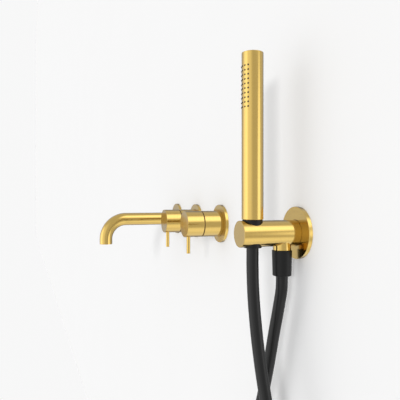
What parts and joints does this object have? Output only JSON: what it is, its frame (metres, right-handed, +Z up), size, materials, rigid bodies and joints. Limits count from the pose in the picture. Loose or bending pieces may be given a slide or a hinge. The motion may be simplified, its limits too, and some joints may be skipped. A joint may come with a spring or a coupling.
{
  "type": "wall mounted bath faucet",
  "caption": "Wall-mounted bath filler set with a bent spout, a diverter, a mixer with turning handles, and a stick hand shower on a hose in its outlet holder.",
  "frame": {"origin": "on the finished wall, on the mixer's axis", "axes": "+X runs along the wall from the spout to the hand shower, +Y goes into the wall, +Z is up"},
  "size_m": [0.64, 0.221, 0.7554],
  "materials": {
    "brushed_gold": "brushed gold coating with a satin sheen",
    "raw_brass": "plain machined brass",
    "steel": "plain screw steel",
    "black_plastic": "matte black",
    "hose_cover": "smooth matte black hose cover",
    "white_plastic": "moulded",
    "seal_rubber": "moulded seal",
    "nozzle_silicone": "soft silicone"
  },
  "bodies": {
    "wall_fittings": {"spout_flange": "brushed_gold", "spout_flange_gasket": "seal_rubber", "spout_tube": "brushed_gold", "spout_nipple": "raw_brass", "spout_o_ring_1": "seal_rubber", "spout_o_ring_2": "seal_rubber", "spout_grub_screw": "steel", "aerator_housing": "brushed_gold", "aerator_insert": "black_plastic", "aerator_washer": "seal_rubber", "diverter_flange": "brushed_gold", "diverter_flange_gasket": "seal_rubber", "diverter_sleeve": "brushed_gold", "diverter_sleeve_o_ring": "seal_rubber", "diverter_slide_ring": "black_plastic", "diverter_valve_body": "raw_brass", "diverter_cartridge": "white_plastic", "diverter_cartridge_nut": "raw_brass", "mixer_flange": "brushed_gold", "mixer_flange_gasket": "seal_rubber", "mixer_sleeve": "brushed_gold", "mixer_sleeve_o_ring": "seal_rubber", "mixer_slide_ring": "black_plastic", "mixer_valve_body": "raw_brass", "mixer_cartridge": "white_plastic", "mixer_cartridge_nut": "raw_brass", "holder_flange": "brushed_gold", "holder_flange_gasket": "seal_rubber", "holder_body": "brushed_gold", "holder_nipple": "raw_brass", "check_valve": "black_plastic", "outlet_nipple": "brushed_gold", "outlet_hose_nut": "black_plastic", "outlet_hose_ferrule": "raw_brass", "outlet_hose_washer": "seal_rubber", "hose": "hose_cover"},
    "mixer_handle": {"mixer_handle": "brushed_gold", "mixer_adapter": "white_plastic", "mixer_spindle": "raw_brass", "mixer_lever_pin": "brushed_gold"},
    "diverter_handle": {"diverter_handle": "brushed_gold", "diverter_adapter": "white_plastic", "diverter_spindle": "raw_brass", "diverter_lever_pin": "brushed_gold"},
    "hose_end": {"handset_hose_ferrule": "raw_brass", "handset_hose_washer": "seal_rubber"},
    "handset": {"handset_tube": "brushed_gold", "handset_end_cap": "brushed_gold", "nozzle_strip": "nozzle_silicone", "handset_water_tube": "white_plastic", "handset_connector": "raw_brass", "handset_hose_nut": "black_plastic"}
  },
  "joints": [
    {"name": "mixer_turn", "type": "hinge", "parent": "wall_fittings", "child": "mixer_handle", "pos_m": [0, 0, 0], "axis": [0, -1, 0], "range_deg": [0, 100]},
    {"name": "diverter_turn", "type": "hinge", "parent": "wall_fittings", "child": "diverter_handle", "pos_m": [-0.12, 0, 0], "axis": [0, -1, 0], "range_deg": [0, 90]},
    {"name": "handset_lift", "type": "slide", "parent": "wall_fittings", "child": "hose_end", "axis": [0, 0, 1], "range_m": [0, 0.05]},
    {"name": "handset_swivel", "type": "hinge", "parent": "hose_end", "child": "handset", "pos_m": [0.24, -0.0607, 0], "axis": [0, 0, 1], "range_deg": [-90, 90]}
  ]
}
